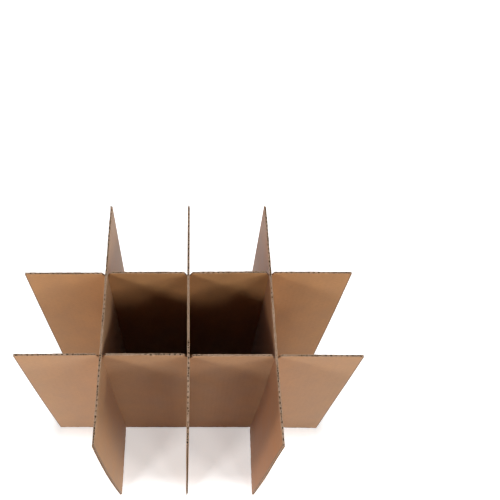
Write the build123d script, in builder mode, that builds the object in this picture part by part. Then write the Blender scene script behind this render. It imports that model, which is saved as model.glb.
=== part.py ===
"""Cell divider insert of corrugated board: two long sheets and three cross sheets, interlocked by slots.

Millimetres. X runs along the long sheets, Y along the cross sheets and Z is up. The origin is the middle of
the footprint, on the surface that the lower edges of all five sheets stand on.
"""

import math
import os

from build123d import *

# Sheets and their places
LONG_LENGTH = 414.0
CROSS_LENGTH = 320.0
SHEET_HEIGHT = 318.0
LONG_SPACING = 109.0
CROSS_SPACING = 104.0

# Section of the board: two liners with a fluted medium between them
BOARD_THICKNESS = 3.0
LINER_THICKNESS = 0.3
MEDIUM_THICKNESS = 0.25
FLUTE_PITCH = 6.35
GLUE_WIDTH = 0.4

# Slots: long sheets are slotted from the top down to the lap height, cross sheets from the bottom up to it
LAP_HEIGHT = 159.0
SLOT_CLEARANCE = 0.5
MOUTH_FLARE = 4.0
MOUTH_DEPTH = 8.0
MOUTH_EASE = 1.8

LONG_PLACES = {"front": -LONG_SPACING / 2, "back": LONG_SPACING / 2}
CROSS_PLACES = {"left": -CROSS_SPACING, "middle": 0.0, "right": CROSS_SPACING}


def channel_corners():
    """Corners of the open channel between one liner and the flute over it, around the channel's centre line.

    The base lies on the liner at negative Y, and the apex is under the flute's crest.
    """
    half_base = (FLUTE_PITCH - GLUE_WIDTH) / 2
    liner_face = -BOARD_THICKNESS / 2 + LINER_THICKNESS
    crest_face = BOARD_THICKNESS / 2 - LINER_THICKNESS - MEDIUM_THICKNESS
    return [(-half_base, liner_face), (half_base, liner_face), (0, crest_face)]


def channel_places(length):
    """Centre lines of the channels along a sheet, which face one liner and the other by turns."""
    half_pitch = FLUTE_PITCH / 2
    last = math.ceil(length / 2 / half_pitch)
    return [Location((index * half_pitch, 0), 180 * (index % 2)) for index in range(-last, last + 1)]


def slot_outline(depth):
    """Outline of one slot in the plane of its sheet: its mouth is on Y = 0 and it runs down to the depth.

    The sides flare towards the mouth, and their corners on the sheet's edge are eased. The outline runs on past
    the edge by the thickness of the board, to cut clear through it.
    """
    half_width = BOARD_THICKNESS / 2 + SLOT_CLEARANCE
    flare = Vector(MOUTH_FLARE, MOUTH_DEPTH).normalized()
    corner = Vector(half_width + MOUTH_FLARE, 0)
    edge = corner.X + MOUTH_EASE
    with BuildSketch() as slot:
        with BuildLine():
            Polyline(
                (0, -depth),
                (half_width, -depth),
                (half_width, -MOUTH_DEPTH),
                corner - flare * MOUTH_EASE,
                (edge, 0),
                (edge, BOARD_THICKNESS),
                (0, BOARD_THICKNESS),
            )
            mirror(about=Plane.YZ)
        make_face()
    return slot.sketch


def build_sheet(ground, length, slot, slot_places):
    """One sheet, drawn as its fluted section on the ground plane, raised to its height and then slotted."""
    upright = Plane(ground.origin, x_dir=ground.x_dir, z_dir=-ground.y_dir)
    with BuildPart() as sheet:
        with BuildSketch(ground):
            Rectangle(length, BOARD_THICKNESS)
            with Locations(*channel_places(length)):
                Polygon(*channel_corners(), mode=Mode.SUBTRACT)
        extrude(amount=SHEET_HEIGHT)
        with BuildSketch(upright):
            with Locations(*slot_places):
                add(slot)
        extrude(amount=BOARD_THICKNESS, both=True, mode=Mode.SUBTRACT)
    return sheet.part


def build_long_divider(place):
    """Long sheet, with its slots open at the upper edge, one for each cross sheet."""
    ground = Plane((0, place, 0), x_dir=(1, 0, 0), z_dir=(0, 0, 1))
    slot = slot_outline(SHEET_HEIGHT - LAP_HEIGHT)
    slot_places = [Location((cross, SHEET_HEIGHT)) for cross in CROSS_PLACES.values()]
    return build_sheet(ground, LONG_LENGTH, slot, slot_places)


def build_cross_divider(place):
    """Cross sheet, with its slots open at the lower edge, one for each long sheet."""
    ground = Plane((place, 0, 0), x_dir=(0, 1, 0), z_dir=(0, 0, 1))
    slot = slot_outline(LAP_HEIGHT)
    slot_places = [Location((long, 0), 180) for long in LONG_PLACES.values()]
    return build_sheet(ground, CROSS_LENGTH, slot, slot_places)


pieces = {}
for side, place in LONG_PLACES.items():
    pieces[f"long_divider_{side}"] = build_long_divider(place)
for side, place in CROSS_PLACES.items():
    pieces[f"cross_divider_{side}"] = build_cross_divider(place)

os.makedirs("parts", exist_ok=True)
for name, piece in pieces.items():
    piece.label = name
    export_step(piece, f"parts/{name}.step")
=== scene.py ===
"""Looks of the cell divider insert: five interlocked sheets of corrugated kraft board on a white floor.

Metres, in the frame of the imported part: X along the long sheets, Y along the cross sheets and Z up.
"""

import math
from dataclasses import dataclass

import bpy
import numpy as np
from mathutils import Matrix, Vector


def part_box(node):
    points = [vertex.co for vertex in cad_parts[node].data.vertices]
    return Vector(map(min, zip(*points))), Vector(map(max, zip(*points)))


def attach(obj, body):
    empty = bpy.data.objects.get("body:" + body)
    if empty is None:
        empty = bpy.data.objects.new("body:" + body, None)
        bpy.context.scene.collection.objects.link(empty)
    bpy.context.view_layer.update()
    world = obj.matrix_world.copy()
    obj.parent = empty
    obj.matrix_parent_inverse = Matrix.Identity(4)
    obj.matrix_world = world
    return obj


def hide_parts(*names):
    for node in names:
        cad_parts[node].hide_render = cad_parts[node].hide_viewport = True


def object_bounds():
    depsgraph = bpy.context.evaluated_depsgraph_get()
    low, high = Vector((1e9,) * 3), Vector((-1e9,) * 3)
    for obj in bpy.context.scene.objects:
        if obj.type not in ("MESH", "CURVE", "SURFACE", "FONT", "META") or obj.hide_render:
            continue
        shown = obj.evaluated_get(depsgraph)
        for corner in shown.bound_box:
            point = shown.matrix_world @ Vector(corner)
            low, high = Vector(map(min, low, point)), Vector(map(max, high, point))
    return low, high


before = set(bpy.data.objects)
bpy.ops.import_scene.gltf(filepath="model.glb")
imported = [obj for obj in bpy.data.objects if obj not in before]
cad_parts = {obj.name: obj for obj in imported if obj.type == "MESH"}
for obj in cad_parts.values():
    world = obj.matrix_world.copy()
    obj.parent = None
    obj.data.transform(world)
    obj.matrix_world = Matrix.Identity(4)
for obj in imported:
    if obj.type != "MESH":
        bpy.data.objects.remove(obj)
CAD_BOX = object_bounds()

MM = 0.001

# Section of the board: two liners with a wavy medium between them
BOARD_THICKNESS = 3.0 * MM
LINER_THICKNESS = 0.3 * MM
MEDIUM_THICKNESS = 0.25 * MM
FLUTE_PITCH = 6.35 * MM
GLUE_LINE = 0.005 * MM
WASHBOARD = 0.015 * MM

# Slots, with crushed sides that close up on the sheet in them and flare towards the mouth
SLOT_GAP = 0.03 * MM
SLOT_WIDTH = BOARD_THICKNESS + 2 * SLOT_GAP
MOUTH_FLARE = 4.0 * MM
MOUTH_DEPTH = 8.0 * MM
MOUTH_EASE = 1.0 * MM
MOUTH_REACH = 3 * MOUTH_FLARE

# Mesh: columns along a sheet, and rows by their distance from a cut edge
STATIONS_PER_FLUTE = 12
MOUTH_STEPS = 6
EDGE_ROWS = np.array([0.0, 0.5, 1.2, 2.5, 5.0, 12.0, 30.0, 65.0, 105.0]) * MM
SHARP_ANGLE = math.radians(40)

# Attribute of the mesh with the place of each point on the board
BOARD_PLACES = "board"

# Cut edges, where the cut has pinched and frayed the board
PINCH_REACH = 1.6 * MM
PINCH_LEAST = 0.04
PINCH_MOST = 0.24
PINCH_WAVES = (61 * MM, 27 * MM, 11.3 * MM)
FRAY_DEPTH = 0.16 * MM
FRAY_WAVES = (7.1 * MM, 3.7 * MM, 2.3 * MM)

# Crushed papers on the cut edges, which leave a hole in each flute, on one side of the medium or the other
CRUST_DEPTH = 0.9 * MM
HOLE_LEAST = 1.3 * MM
HOLE_MOST = 2.0 * MM
HOLE_HALF_WIDTH = 1.5 * MM
HOLE_WAVES = (43 * MM, 17 * MM, 8.9 * MM)
SIDE_WAVES = (151 * MM, 67 * MM)
CRUSHED_SHUT = 0.76
CRUSH_RAMP = 5 * MM

# Random draws: each kind of wear adds its own number to the sheet's seed, but for the pinch
FRAY_SEED = 100
HOLE_SEED = 200
SIDE_SEED = 300
RIPPLE_GAIN = 1.2

# Sheets, and the slots where they cross
LONG_NAMES = ("long_divider_front", "long_divider_back")
CROSS_NAMES = ("cross_divider_left", "cross_divider_middle", "cross_divider_right")
LONG_AXIS, CROSS_AXIS = 0, 1
LEAN_CURVE = 1.4

# Paper of the liners: its usual colour, and its least and most roughness, which are lower on cross sheets
KRAFT = (0.465, 0.242, 0.105)
LINER_ROUGHNESS = {LONG_AXIS: (0.66, 0.76), CROSS_AXIS: (0.57, 0.67)}


def middle(node, axis):
    """Middle of a node's box along one axis."""
    low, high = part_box(node)
    return (low[axis] + high[axis]) / 2


SLOTS = {
    LONG_AXIS: np.array([middle(name, LONG_AXIS) for name in CROSS_NAMES]),
    CROSS_AXIS: np.array([middle(name, CROSS_AXIS) for name in LONG_NAMES]),
}


@dataclass
class Sheet:
    """One sheet: the axis it runs along, the seed of its wear, the colours of its liners and its lean.

    The far liner comes first. It is the back of a long sheet, and the left side of a cross sheet.

    Lean is how far the sheet stands off its plane, in millimetres along +X or +Y. For the tips of its two
    flaps it is given on the edge without slots and halfway to the slotted edge. On the slotted edge it is
    given at both ends of each stretch between the slots.

    Stretches where the cut edges are crushed shut are in millimetres from the sheet's middle.
    """

    name: str
    axis: int
    seed: int
    liners: tuple
    whole_edge: tuple
    halfway: tuple
    slotted_edge: tuple
    crushed: tuple = ()


SHEETS = (
    Sheet(
        "long_divider_front", LONG_AXIS, 11, liners=(KRAFT, (0.475, 0.248, 0.112)),
        whole_edge=(0.0, -1.6), halfway=(-1.0, -1.2),
        slotted_edge=((1.0, 1.7), (1.4, 1.4), (0.4, 0.4), (0.3, -0.3)),
        crushed=((-98, -48), (14, 98), (111, 131)),
    ),
    Sheet(
        "long_divider_back", LONG_AXIS, 12, liners=(KRAFT, (0.475, 0.231, 0.086)),
        whole_edge=(0.0, 0.0), halfway=(-0.3, -0.3),
        slotted_edge=((1.3, 1.5), (2.6, 2.4), (2.4, 3.3), (2.8, 2.3)),
    ),
    Sheet(
        "cross_divider_left", CROSS_AXIS, 13, liners=(KRAFT, (0.45, 0.235, 0.097)),
        whole_edge=(-0.8, 0.4), halfway=(-2.9, 0.0),
        slotted_edge=((0.6, 1.9), (0.8, 0.3), (0.2, 0.2)),
        crushed=((-54, -15), (23, 54)),
    ),
    Sheet(
        "cross_divider_middle", CROSS_AXIS, 14, liners=(KRAFT, KRAFT),
        whole_edge=(-0.9, 0.6), halfway=(-1.6, 0.5),
        slotted_edge=((-2.3, -0.6), (-0.3, 0.0), (0.0, 0.3)),
        crushed=((-136, -120), (-38, 54)),
    ),
    # The far liner of this sheet, the side seen from the front, is darker and more orange than its near
    # one: painted shade
    Sheet(
        "cross_divider_right", CROSS_AXIS, 15, liners=((0.365, 0.143, 0.04), KRAFT),
        whole_edge=(0.7, -0.7), halfway=(-0.9, -0.3),
        slotted_edge=((-5.0, -3.2), (-1.5, -0.5), (-0.4, -0.3)),
        crushed=((-70, 22), (34, 54)),
    ),
)


# Shape of the sheets

def ripple(places, seed, waves):
    """Smooth noise from 0 to 1 along a line, the same on every run."""
    draw = np.random.default_rng(seed)
    total = np.zeros_like(places)
    for wave in waves:
        total += np.sin(2 * np.pi * places / wave + draw.uniform(0, 2 * np.pi))
    return 0.5 + 0.5 * np.tanh(RIPPLE_GAIN * total)


def stations(length, slots):
    """Places of the mesh's columns along a sheet: evenly over the flutes, and on the corners of each slot.

    An even column that would stand within a third of a step of a corner is left out.
    """
    step = FLUTE_PITCH / STATIONS_PER_FLUTE
    half_count = int(length / 2 / step)
    even = np.arange(-half_count, half_count + 1) * step
    flare = np.linspace(0, MOUTH_FLARE, MOUTH_STEPS)
    corners = [-length / 2, length / 2]
    for slot in slots:
        corners += list(slot + SLOT_WIDTH / 2 + flare)
        corners += list(slot - SLOT_WIDTH / 2 - flare)
    corners = np.array(corners)
    clear = np.min(np.abs(even[:, None] - corners), axis=1) > step / 3
    return np.sort(np.concatenate([even[clear], corners]))


def mouth_drop(u, slots):
    """How far below the slotted edge the board ends at each station, where the sides of a slot flare."""
    from_wall = np.min(np.abs(u[:, None] - slots), axis=1) - SLOT_WIDTH / 2
    line = MOUTH_DEPTH * (1 - np.maximum(from_wall, 0) / MOUTH_FLARE)
    return (line + np.sqrt(line**2 + MOUTH_EASE**2)) / 2 * (from_wall < MOUTH_REACH)


def lattice(u, slots, height):
    """Heights of the mesh's rows at each station, and which cells between them are board.

    The slots open upwards here, from half the height to the top.
    """
    lower = np.append(EDGE_ROWS, height / 2)
    upper = height - EDGE_ROWS[::-1] - mouth_drop(u, slots)[:, None]
    rows = np.concatenate([np.tile(lower, (len(u), 1)), upper], axis=1)
    middles = (u[:-1] + u[1:]) / 2
    in_slot = np.min(np.abs(middles[:, None] - slots), axis=1) < SLOT_WIDTH / 2
    board = np.ones((len(u) - 1, rows.shape[1] - 1), dtype=bool)
    board[in_slot, len(lower) - 1:] = False
    return rows, board


def slab_quads(board):
    """Quads of a closed slab over a lattice's cells: its far face, its near face and the rim round them.

    The far side's vertices come first, then the near side's, each by station and then by row.
    """
    columns, rows = board.shape[0] + 1, board.shape[1] + 1

    def corner(side, i, j):
        return (side * columns + i) * rows + j

    def quads(*corners):
        return np.stack([corner(*each) for each in corners], axis=1)

    far, near = 0, 1
    i, j = np.nonzero(board)
    near_face = quads((near, i, j), (near, i + 1, j), (near, i + 1, j + 1), (near, i, j + 1))
    far_face = quads((far, i, j), (far, i, j + 1), (far, i + 1, j + 1), (far, i + 1, j))

    padded = np.pad(board, 1)
    rim = []
    i, j = np.nonzero(board & ~padded[1:-1, :-2])
    rim.append(quads((near, i, j), (far, i, j), (far, i + 1, j), (near, i + 1, j)))
    i, j = np.nonzero(board & ~padded[1:-1, 2:])
    rim.append(quads((near, i, j + 1), (near, i + 1, j + 1), (far, i + 1, j + 1), (far, i, j + 1)))
    i, j = np.nonzero(board & ~padded[:-2, 1:-1])
    rim.append(quads((near, i, j), (near, i, j + 1), (far, i, j + 1), (far, i, j)))
    i, j = np.nonzero(board & ~padded[2:, 1:-1])
    rim.append(quads((near, i + 1, j), (far, i + 1, j), (far, i + 1, j + 1), (near, i + 1, j + 1)))
    return far_face, near_face, np.concatenate(rim)


def shut(u, stretches):
    """How far the flutes are crushed shut at each station: 1 on the given stretches, with soft ends."""
    share = np.zeros_like(u)
    for first, last in np.array(stretches) * MM:
        share = np.maximum(share, np.clip(np.minimum(u - first, last - u) / CRUSH_RAMP, 0, 1))
    return share


def holes(sheet, u):
    """Heights of the holes that a cut edge has between the medium and the far liner, and the near liner."""
    hole = HOLE_LEAST + (HOLE_MOST - HOLE_LEAST) * ripple(u, sheet.seed + HOLE_SEED, HOLE_WAVES)
    hole = hole * (1 - CRUSHED_SHUT * shut(u, sheet.crushed))
    to_far = ripple(u, sheet.seed + SIDE_SEED, SIDE_WAVES)
    return hole * np.minimum(2 * to_far, 1), hole * np.minimum(2 - 2 * to_far, 1)


def papers(u, far_hole, near_hole):
    """The far and near side of the board's three papers at each station, and how far a cut swells each.

    The crushed papers close each flute on a cut edge, but for an oval hole in its middle. Holes of the
    given heights are left between the medium and the far liner, and between it and the near liner.
    """

    def left_open(hole, from_crest):
        aside = (from_crest / FLUTE_PITCH % 1 - 0.5) * FLUTE_PITCH
        return hole * np.sqrt(np.maximum(1 - (aside / HOLE_HALF_WIDTH) ** 2, 0)) + GLUE_LINE / 2

    wave = np.cos(2 * np.pi * u / FLUTE_PITCH)
    off_far, off_near = (1 - wave) / 2, (1 + wave) / 2
    far_liner = BOARD_THICKNESS / 2 - WASHBOARD * off_far
    near_liner = WASHBOARD * off_near - BOARD_THICKNESS / 2
    swing = BOARD_THICKNESS / 2 - LINER_THICKNESS - MEDIUM_THICKNESS / 2 - GLUE_LINE
    far_medium = swing * wave + MEDIUM_THICKNESS / 2
    near_medium = swing * wave - MEDIUM_THICKNESS / 2
    far_fill = (far_liner - LINER_THICKNESS - far_medium - left_open(far_hole, u)) / 2
    near_gap = near_medium - near_liner - LINER_THICKNESS
    near_fill = (near_gap - left_open(near_hole, u + FLUTE_PITCH / 2)) / 2
    still = np.zeros_like(u)
    return (
        ((far_liner, still), (far_liner - LINER_THICKNESS, -far_fill)),
        ((far_medium, far_fill), (near_medium, -near_fill)),
        ((near_liner + LINER_THICKNESS, near_fill), (near_liner, still)),
    )


def pinch(u, from_edge, from_end, seed):
    """Share of the board's thickness that is left at each point, where a cut has pressed it together."""
    depth = PINCH_LEAST + (PINCH_MOST - PINCH_LEAST) * ripple(u, seed, PINCH_WAVES)
    at_edge = depth[:, None] * np.exp(-((from_edge / PINCH_REACH) ** 2))
    at_end = PINCH_MOST / 2 * np.exp(-((from_end / PINCH_REACH) ** 2))
    return 1 - np.maximum(at_edge, at_end[:, None])


def frayed(u, rows, seed):
    """Heights of the rows, where the ragged cut has drawn in both edges."""
    from_top = rows[:, -1:] - rows
    fray = FRAY_DEPTH * ripple(u, seed + FRAY_SEED, FRAY_WAVES)[:, None]
    return rows + fray * (np.exp(-rows / PINCH_REACH) - np.exp(-from_top / PINCH_REACH))


def lean(sheet, u, length, share):
    """How far each point stands off its sheet's plane.

    share is 0 on the edge without slots and 1 on the slotted one.
    """
    slots = SLOTS[sheet.axis]
    near_whole = np.clip(1 - 2 * share, 0, 1) ** LEAN_CURVE
    near_slotted = np.clip(2 * share - 1, 0, 1) ** LEAN_CURVE
    bow = 1 - (2 * share - 1) ** 2
    total = np.zeros_like(share)
    for side, tip, halfway in zip((-1, 1), sheet.whole_edge, sheet.halfway):
        reach = np.clip((side * u - slots[-1]) / (length / 2 - slots[-1]), 0, 1) ** LEAN_CURVE
        total += reach[:, None] * (tip * near_whole + halfway * bow)
    ends = np.array([-length / 2, *slots, length / 2])
    stretch = np.searchsorted(slots, u)
    along = (u - ends[stretch]) / (ends[stretch + 1] - ends[stretch])
    first, last = np.array(sheet.slotted_edge)[stretch].T
    total += (first + (last - first) * along)[:, None] * near_slotted
    return total * MM


def sheet_points(sheet, u, rows, length, height):
    """Vertices of a sheet's papers, and their places on the board: along it, over its foot and through it.

    Through the board, the sheet's seed is added, so that no two sheets have the same texture.
    """
    from_edge = np.minimum(rows, rows[:, -1:] - rows)
    squeeze = pinch(u, from_edge, length / 2 - np.abs(u), sheet.seed)
    swollen = np.exp(-from_edge / CRUST_DEPTH)
    plane = middle(sheet.name, 1 - sheet.axis) + lean(sheet, u, length, rows / height)
    heights = frayed(u, rows, sheet.seed)
    if sheet.axis == CROSS_AXIS:
        heights = height - heights
    along = np.broadcast_to(u[:, None], heights.shape)

    points, board_places = [], []
    for sides in papers(u, *holes(sheet, u)):
        for level, swell in sides:
            through = (level[:, None] + swell[:, None] * swollen) * squeeze
            if sheet.axis == LONG_AXIS:
                axes = (along, plane + through, heights)
            else:
                axes = (plane - through, along, heights)
            points.append(np.stack(axes, axis=-1).reshape(-1, 3))
            board_places.append(np.stack([along, heights, through + sheet.seed], axis=-1).reshape(-1, 3))
    return np.concatenate(points), np.concatenate(board_places)


# Texture map: strips from the bottom up, two of outer faces, four of inner ones and nine of cut edges
MAP_NAME = "OFBake"
MAP_GAP = 0.003
MAP_HEIGHTS = np.array([0.415] * 2 + [0.02] * 4 + [0.004] * 9)
MAP_LOWS = np.cumsum(MAP_HEIGHTS + MAP_GAP) - MAP_HEIGHTS
FACE_STRIPS = ((0, 2), (3, 4), (5, 1))
FIRST_RIM_STRIP = 6


def strip(number, along, across):
    """Places on one strip of the texture map."""
    return np.stack([along, MAP_LOWS[number] + MAP_HEIGHTS[number] * across], axis=-1)


def map_places(layer, far_face, near_face, rim, along, up):
    """Places on the texture map of one paper's quads. along and up run from 0 to 1 over the sheet."""
    columns, rows = up.shape

    def parts(quads):
        """Side, station and row of each corner."""
        return quads // (columns * rows), quads // rows % columns, quads % rows

    places = []
    for quads, number in zip((far_face, near_face), FACE_STRIPS[layer]):
        _, i, j = parts(quads)
        places.append(strip(number, along[i], up[i, j]))

    side, i, j = parts(rim)
    bottom, top, upright = FIRST_RIM_STRIP + 3 * layer + np.arange(3)
    flat = np.where((j > 0)[..., None], strip(top, along[i], side), strip(bottom, along[i], side))
    is_wall = np.ptp(i, axis=1) == 0
    walls = np.unique(i[is_wall])
    on_walls = strip(upright, (np.searchsorted(walls, i) + up[i, j]) / len(walls), side)
    places.append(np.where(is_wall[:, None, None], on_walls, flat))
    return places


# Materials of a sheet's faces, and those of the far and near face of its three papers
FAR, NEAR, INNER, EDGE = range(4)
PAPER_FACES = ((FAR, INNER), (INNER, INNER), (INNER, NEAR))


def sheet_faces(board, along, up):
    """Quads of a sheet's three papers, the material of each and its corners' places on the texture map."""
    far_face, near_face, rim = slab_quads(board)
    quads, kinds, places = [], [], []
    for layer, (far_kind, near_kind) in enumerate(PAPER_FACES):
        for faces, kind in ((far_face, far_kind), (near_face, near_kind), (rim, EDGE)):
            quads.append(faces + layer * 2 * up.size)
            kinds.append(np.full(len(faces), kind))
        places += map_places(layer, far_face, near_face, rim, along, up)
    return np.concatenate(quads), np.concatenate(kinds), np.concatenate(places)


def add_object(name, data):
    """New object in the scene."""
    piece = bpy.data.objects.new(name, data)
    bpy.context.scene.collection.objects.link(piece)
    return piece


def build_sheet(sheet, inner, edge):
    """The mesh of one sheet, in place of its solid: three closed papers, slotted, with cut edges."""
    low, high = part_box(sheet.name)
    length = high[sheet.axis] - low[sheet.axis]
    height = high[2] - low[2]
    u = stations(length, SLOTS[sheet.axis])
    rows, board = lattice(u, SLOTS[sheet.axis], height)
    points, board_places = sheet_points(sheet, u, rows, length, height)
    quads, kinds, places = sheet_faces(board, u / length + 0.5, rows / height)
    if sheet.axis == CROSS_AXIS:
        quads, places = quads[:, ::-1], places[:, ::-1]
    used, quads = np.unique(quads, return_inverse=True)

    mesh = bpy.data.meshes.new(sheet.name + "_board")
    mesh.from_pydata(points[used], [], quads.reshape(-1, 4))
    far_liner, near_liner = [liner_material(sheet, paper, length) for paper in sheet.liners]
    for material in (far_liner, near_liner, inner, edge):
        mesh.materials.append(material)
    mesh.polygons.foreach_set("material_index", kinds)
    mesh.shade_smooth()
    mesh.set_sharp_from_angle(angle=SHARP_ANGLE)
    texture_map = mesh.uv_layers.new(name=MAP_NAME)
    texture_map.uv.foreach_set("vector", places.astype(np.float32).ravel())
    on_board = mesh.attributes.new(BOARD_PLACES, "FLOAT_VECTOR", "POINT")
    on_board.data.foreach_set("vector", board_places[used].astype(np.float32).ravel())
    piece = add_object(sheet.name + "_board", mesh)
    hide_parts(sheet.name)
    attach(piece, "root")


# Materials

WAVE_PERIOD = math.pi / 10  # of the wave texture's bands at scale 1
CLOUD_SHADES = (0.93, 1.0, 1.08)
SPECK_TINT = (0.55, 0.5, 0.45)
# Liners are darker near the sheets' ends, and painted shade darkens them near their foot
END_AND_FOOT_DARKENING = (0.5, 0.53, 0.6)
DARK_END_WIDTH = 2.2 * MM
FOOT_SHADE_HEIGHT = 5.0 * MM
MEDIUM_COLOURS = ((0.33, 0.19, 0.105), (0.44, 0.265, 0.155))
# Cut edges are paler than the faces, and paler still as painted light from above
CUT_COLOURS_WITH_TOP_LIGHT = ((0.69, 0.44, 0.28), (0.78, 0.53, 0.36), (0.85, 0.62, 0.45))


class Nodes:
    """A material's node tree, with short calls for the nodes that the materials here share."""

    def __init__(self, name):
        self.material = bpy.data.materials.new(name)
        self.material.use_nodes = True
        self.tree = self.material.node_tree
        self.shader = self.tree.nodes["Principled BSDF"]

    def add(self, kind, **settings):
        """New node with the given settings."""
        node = self.tree.nodes.new(kind)
        for name, value in settings.items():
            setattr(node, name, value)
        return node

    def link(self, output, socket):
        """Link from a node's output to another's socket."""
        self.tree.links.new(output, socket)

    def board_places(self, stretch):
        """Places on the sheet, stretched along it, up it and through it."""
        places = self.add("ShaderNodeAttribute", attribute_name=BOARD_PLACES)
        mapping = self.add("ShaderNodeMapping")
        mapping.inputs["Scale"].default_value = stretch
        self.link(places.outputs["Vector"], mapping.inputs["Vector"])
        return mapping.outputs["Vector"]

    def noise(self, stretch, detail=3.0, roughness=0.55):
        """Noise with the given number of lumps to the metre along the sheet, up it and through it."""
        node = self.add("ShaderNodeTexNoise")
        node.inputs["Scale"].default_value = 1.0
        node.inputs["Detail"].default_value = detail
        node.inputs["Roughness"].default_value = roughness
        self.link(self.board_places(stretch), node.inputs["Vector"])
        return node.outputs["Fac"]

    def ramp(self, value, *stops):
        """Colour for a value, between stops of a value and a colour each."""
        node = self.add("ShaderNodeValToRGB")
        elements = node.color_ramp.elements
        while len(elements) < len(stops):
            elements.new(0.5)
        for element, (position, colour) in zip(elements, stops):
            element.position = position
            element.color = (*colour, 1.0)
        self.link(value, node.inputs["Fac"])
        return node.outputs["Color"]

    def math(self, operation, first, second=None):
        """One operation on a value, or on it and a second one, which may be a link or a number."""
        node = self.add("ShaderNodeMath", operation=operation)
        self.link(first, node.inputs[0])
        if isinstance(second, float):
            node.inputs[1].default_value = second
        elif second is not None:
            self.link(second, node.inputs[1])
        return node.outputs["Value"]

    def from_rim(self, length):
        """Distance from the nearer end of a sheet, or, where less, a share of the height over its foot."""
        places = self.add("ShaderNodeAttribute", attribute_name=BOARD_PLACES)
        parts = self.add("ShaderNodeSeparateXYZ")
        self.link(places.outputs["Vector"], parts.inputs["Vector"])
        from_middle = self.math("ABSOLUTE", parts.outputs["X"])
        from_end = self.math("ADD", self.math("MULTIPLY", from_middle, -1.0), length / 2)
        over_foot = self.math("MULTIPLY", parts.outputs["Y"], DARK_END_WIDTH / FOOT_SHADE_HEIGHT)
        return self.math("MINIMUM", from_end, over_foot)

    def tint(self, colour, shade):
        """Colour times shade."""
        node = self.add("ShaderNodeMix", data_type="RGBA", blend_type="MULTIPLY")
        node.inputs["Factor"].default_value = 1.0
        self.link(colour, node.inputs["A"])
        self.link(shade, node.inputs["B"])
        return node.outputs["Result"]

    def bump(self, value, distance, strength, normal=None):
        """Normal that follows a value's relief, over another normal if one is given."""
        node = self.add("ShaderNodeBump")
        node.inputs["Distance"].default_value = distance
        node.inputs["Strength"].default_value = strength
        self.link(value, node.inputs["Height"])
        if normal is not None:
            self.link(normal, node.inputs["Normal"])
        return node.outputs["Normal"]

    def set_sockets(self, **levels):
        """Constant values of the shader's own sockets, which are named with _ for a space."""
        for name, level in levels.items():
            self.shader.inputs[name.replace("_", " ")].default_value = level


def grey(level):
    """Grey of one level."""
    return (level, level, level)


def liner_material(sheet, paper, length):
    """Outer face of a kraft liner: cloudy brown paper with fibres, dark specks and a faint washboard.

    It is darker near its ends, and painted shade darkens it near its foot.
    """
    nodes = Nodes(sheet.name + "_liner")
    clouds = nodes.noise((38, 24, 1), detail=4.0)
    darker, usual, paler = [tuple(np.array(paper) * shade) for shade in CLOUD_SHADES]
    colour = nodes.ramp(clouds, (0.3, darker), (0.5, usual), (0.72, paler))
    fibres = nodes.noise((160, 1500, 1), detail=5.0, roughness=0.65)
    colour = nodes.tint(colour, nodes.ramp(fibres, (0.32, grey(0.86)), (0.68, grey(1.08))))
    specks = nodes.noise((900, 1300, 1), detail=2.0)
    colour = nodes.tint(colour, nodes.ramp(specks, (0.24, SPECK_TINT), (0.31, grey(1.0))))
    # Darker near the ends, and painted shade near the foot
    inwards = nodes.math("MULTIPLY", nodes.from_rim(length), 1 / DARK_END_WIDTH)
    colour = nodes.tint(colour, nodes.ramp(inwards, (0.4, END_AND_FOOT_DARKENING), (1.0, grey(1.0))))
    nodes.link(colour, nodes.shader.inputs["Base Color"])

    flutes = nodes.add("ShaderNodeTexWave", wave_type="BANDS", bands_direction="X")
    flutes.inputs["Scale"].default_value = 1.0
    flutes.inputs["Distortion"].default_value = 0.4
    nodes.link(nodes.board_places((WAVE_PERIOD / FLUTE_PITCH, 0.5, 0.0)), flutes.inputs["Vector"])
    washboard = nodes.bump(flutes.outputs["Fac"], 0.05 * MM, 0.2)
    grain = nodes.bump(fibres, 0.06 * MM, 0.5, washboard)
    nodes.link(grain, nodes.shader.inputs["Normal"])

    least, most = LINER_ROUGHNESS[sheet.axis]
    roughness = nodes.ramp(clouds, (0.3, grey(least)), (0.7, grey(most)))
    nodes.link(roughness, nodes.shader.inputs["Roughness"])
    nodes.set_sockets(Specular_IOR_Level=0.5, Sheen_Weight=0.17, Sheen_Roughness=0.4)
    return nodes.material


def inner_material():
    """The papers' sides that face the flutes: browner, with starch and fibres."""
    nodes = Nodes("kraft_medium")
    darker, paler = MEDIUM_COLOURS
    clouds = nodes.noise((120, 60, 40))
    colour = nodes.ramp(clouds, (0.3, darker), (0.7, paler))
    fibres = nodes.noise((260, 1700, 300), detail=4.0)
    colour = nodes.tint(colour, nodes.ramp(fibres, (0.3, grey(0.82)), (0.7, grey(1.06))))
    nodes.link(colour, nodes.shader.inputs["Base Color"])
    nodes.link(nodes.bump(fibres, 0.05 * MM, 0.5), nodes.shader.inputs["Normal"])
    nodes.set_sockets(Roughness=0.88, Specular_IOR_Level=0.25)
    return nodes.material


def edge_material():
    """Cut edges of the papers: paler and greyer than their faces, with torn fibres. Part of their paleness
    is painted light from above.
    """
    nodes = Nodes("kraft_cut_edge")
    darker, usual, paler = CUT_COLOURS_WITH_TOP_LIGHT
    clouds = nodes.noise((210, 210, 500), detail=4.0)
    colour = nodes.ramp(clouds, (0.3, darker), (0.5, usual), (0.75, paler))
    fibres = nodes.noise((2200, 2200, 2200))
    colour = nodes.tint(colour, nodes.ramp(fibres, (0.3, grey(0.78)), (0.7, grey(1.1))))
    nodes.link(colour, nodes.shader.inputs["Base Color"])
    nodes.link(nodes.bump(fibres, 0.1 * MM, 0.7), nodes.shader.inputs["Normal"])
    nodes.set_sockets(Roughness=0.95, Specular_IOR_Level=0.05)
    return nodes.material


# Floor, light and camera

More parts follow.
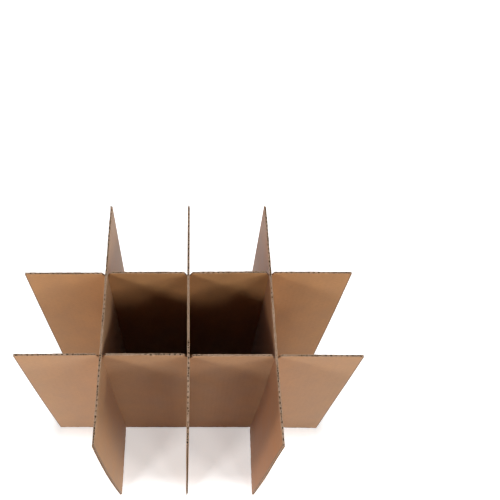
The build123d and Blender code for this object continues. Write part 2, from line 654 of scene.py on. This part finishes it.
FLOOR_REACH = 6.0
FLOOR_FINE = 0.4
FLOOR_STEP = 10 * MM
FLOOR_BORDER = 2 * MM
FLOOR_WHITE = (0.86, 0.855, 0.85, 1.0)
WHITE = (1.0, 1.0, 1.0, 1.0)
# Less glow between the flaps and none in the closed cells: painted shade on the floor there
BAY_GLOW = 0.44
BAY_MOUTH = 32 * MM
OPEN_GLOW = 1.0
OPEN_RAMP = 40 * MM
GLOW = "glow"


def seen_directly(tree):
    """1 for rays from the camera, and for those that mirror or pass through something, else 0."""
    path = tree.nodes.new("ShaderNodeLightPath")
    total = path.outputs["Is Camera Ray"]
    for name in ("Is Glossy Ray", "Is Transmission Ray"):
        larger = tree.nodes.new("ShaderNodeMath")
        larger.operation = "MAXIMUM"
        tree.links.new(total, larger.inputs[0])
        tree.links.new(path.outputs[name], larger.inputs[1])
        total = larger.outputs["Value"]
    return total


def beyond(points, low, high, ramp):
    """0 inside a rectangle, rising smoothly to 1 at some distance outside it."""
    outside = np.maximum(np.maximum(np.array(low) - points, points - np.array(high)), 0)
    share = np.clip(np.hypot(*outside.T) / ramp, 0, 1)
    return share * share * (3 - 2 * share)


def floor_glow(points):
    """Glow of the floor: none in the closed cells, some between the flaps, and most in the open. The lesser
    glow in the cells and between the flaps is painted shade.
    """
    left, right = SLOTS[LONG_AXIS][[0, -1]]
    front, back = SLOTS[CROSS_AXIS][[0, -1]]
    (low_x, low_y, _), (high_x, _, _) = CAD_BOX
    in_cells = beyond(points, (left, front), (right, back), FLOOR_BORDER)
    in_front = beyond(points, (left, low_y + BAY_MOUTH), (right, back), OPEN_RAMP)
    in_sides = beyond(points, (low_x, front), (high_x, back), OPEN_RAMP)
    return BAY_GLOW * in_cells + (OPEN_GLOW - BAY_GLOW) * np.minimum(in_front, in_sides)


def floor_material():
    """Matt white, with the floor's glow where it is seen directly."""
    nodes = Nodes("floor_white")
    nodes.set_sockets(Base_Color=FLOOR_WHITE, Roughness=0.9, Specular_IOR_Level=0.1, Emission_Color=WHITE)
    glow = nodes.add("ShaderNodeAttribute", attribute_name=GLOW)
    strength = nodes.math("MULTIPLY", seen_directly(nodes.tree), glow.outputs["Fac"])
    nodes.link(strength, nodes.shader.inputs["Emission Strength"])
    return nodes.material


def build_floor():
    """White floor under the part, which takes its shadow. Seen directly it glows a little, up to white."""
    fine = np.arange(-FLOOR_FINE, FLOOR_FINE + FLOOR_STEP / 2, FLOOR_STEP)
    border = np.array([[-FLOOR_BORDER], [0.0], [FLOOR_BORDER]])
    xs = np.unique([-FLOOR_REACH, *fine, *(SLOTS[LONG_AXIS] + border).ravel(), FLOOR_REACH])
    ys = np.unique([-FLOOR_REACH, *fine, *(SLOTS[CROSS_AXIS] + border).ravel(), FLOOR_REACH])
    points = np.stack(np.meshgrid(xs, ys), axis=-1).reshape(-1, 2)
    row = len(xs)
    first = (np.arange(len(ys) - 1)[:, None] * row + np.arange(row - 1)).ravel()
    quads = np.stack([first, first + 1, first + row + 1, first + row], axis=1)
    mesh = bpy.data.meshes.new("floor")
    mesh.from_pydata(np.column_stack([points, np.zeros(len(points))]), [], quads)
    glow = mesh.attributes.new(GLOW, "FLOAT", "POINT")
    glow.data.foreach_set("value", floor_glow(points).astype(np.float32))
    mesh.materials.append(floor_material())
    floor = add_object("floor", mesh)


def build_world():
    """White wherever it is seen directly. It lights nothing else."""
    world = bpy.data.worlds.new("studio")
    world.use_nodes = True
    tree = world.node_tree
    background = tree.nodes["Background"]
    background.inputs["Color"].default_value = WHITE
    tree.links.new(seen_directly(tree), background.inputs["Strength"])
    bpy.context.scene.world = world


# Lamps: azimuth and elevation in degrees, and power in watts
# Azimuth 0 is in front of the part, and 90 is to its right
LAMPS = {
    "key_right": (56, 28, 16.5),
    "fill_right": (32, 36, 8.5),
    "low_right": (68, 4, 13),
    "key_left": (-44, 28, 19.5),
    "low_left": (-68, 4, 21),
    "back": (180, 8, 42),
    "top": (0, 90, 1.5),
}
LAMP_DISTANCE = 2.4
LAMP_SIZE = 0.5
AIM = (0.0, 0.0, 0.16)


def add_lamp(name, azimuth, elevation, power):
    """Square soft lamp that faces the part."""
    lamp = bpy.data.lights.new(name, "AREA")
    lamp.shape = "SQUARE"
    lamp.size = LAMP_SIZE
    lamp.energy = power
    turn, rise = math.radians(azimuth), math.radians(elevation)
    reach = LAMP_DISTANCE * math.cos(rise)
    piece = add_object(name, lamp)
    piece.location = (
        AIM[0] + reach * math.sin(turn),
        AIM[1] - reach * math.cos(turn),
        AIM[2] + LAMP_DISTANCE * math.sin(rise),
    )
    piece.rotation_euler = (math.pi / 2 - rise, 0, turn)


# Camera, as fitted to the photo: its place and pitch in the part's frame, and sizes in the photo's pixels
PHOTO_SIDE = 500
FOCAL_PIXELS = 623.69
PRINCIPAL_POINT = (188.4, 263.99)
SENSOR = 36.0
CAMERA_PLACE = (0.0, -0.32013, 1.01195)
CAMERA_PITCH = 60.697


def build_camera():
    """The camera at the photo's viewing angle."""
    camera = bpy.data.cameras.new("camera")
    camera.sensor_width = SENSOR
    camera.lens = FOCAL_PIXELS * SENSOR / PHOTO_SIDE
    camera.shift_x = (PHOTO_SIDE / 2 - PRINCIPAL_POINT[0]) / PHOTO_SIDE
    camera.shift_y = (PRINCIPAL_POINT[1] - PHOTO_SIDE / 2) / PHOTO_SIDE
    piece = add_object("camera", camera)
    piece.location = CAMERA_PLACE
    piece.rotation_euler = (math.radians(90 - CAMERA_PITCH), 0, 0)
    bpy.context.scene.camera = piece


inner_paper, cut_edge = inner_material(), edge_material()
for each_sheet in SHEETS:
    build_sheet(each_sheet, inner_paper, cut_edge)
build_floor()
build_world()
for lamp_name, (lamp_azimuth, lamp_elevation, lamp_power) in LAMPS.items():
    add_lamp(lamp_name, lamp_azimuth, lamp_elevation, lamp_power)
build_camera()
bpy.context.scene.view_settings.view_transform = "Standard"
